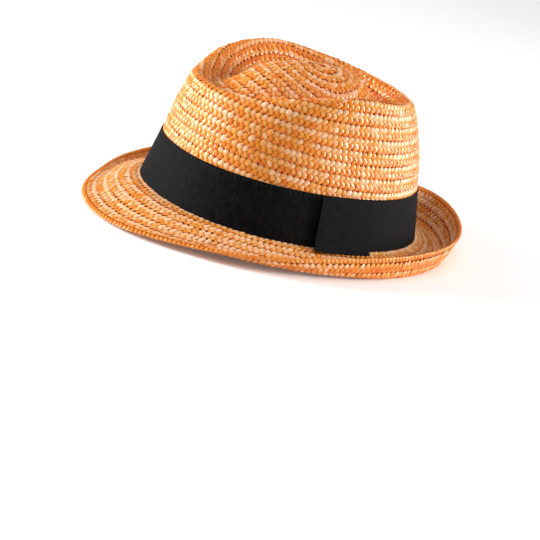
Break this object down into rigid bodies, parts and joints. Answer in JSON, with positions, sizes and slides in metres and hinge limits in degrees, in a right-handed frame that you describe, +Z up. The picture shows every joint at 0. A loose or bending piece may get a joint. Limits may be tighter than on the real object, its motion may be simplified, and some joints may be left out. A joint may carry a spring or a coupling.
{
  "type": "straw trilby",
  "caption": "Sewn straw trilby with a teardrop crown, a brim turned up at the sides and back, a rolled rim, and a ribbon with a flat bow.",
  "frame": {"origin": "on the surface the hat rests on, below the middle of its bounding box", "axes": "+Z up from the resting surface; -Y towards the front of the hat, where the brim turns down; +X towards the wearer's left, where the bow is"},
  "size_m": [0.2218, 0.286, 0.1171],
  "materials": {
    "straw_braid": "glossy wheat-straw braid, lacquered, honey to orange, with dark red-brown gaps",
    "straw_rim": "glossy straw braid, the last row rolled round the edge",
    "grosgrain": "matte black grosgrain ribbon with fine ribs"
  },
  "bodies": {
    "root": {"crown_wall": "straw_braid", "crown_top": "straw_braid", "brim": "straw_braid", "brim_rim": "straw_rim", "ribbon_band": "grosgrain", "ribbon_bow": "grosgrain"}
  },
  "joints": []
}
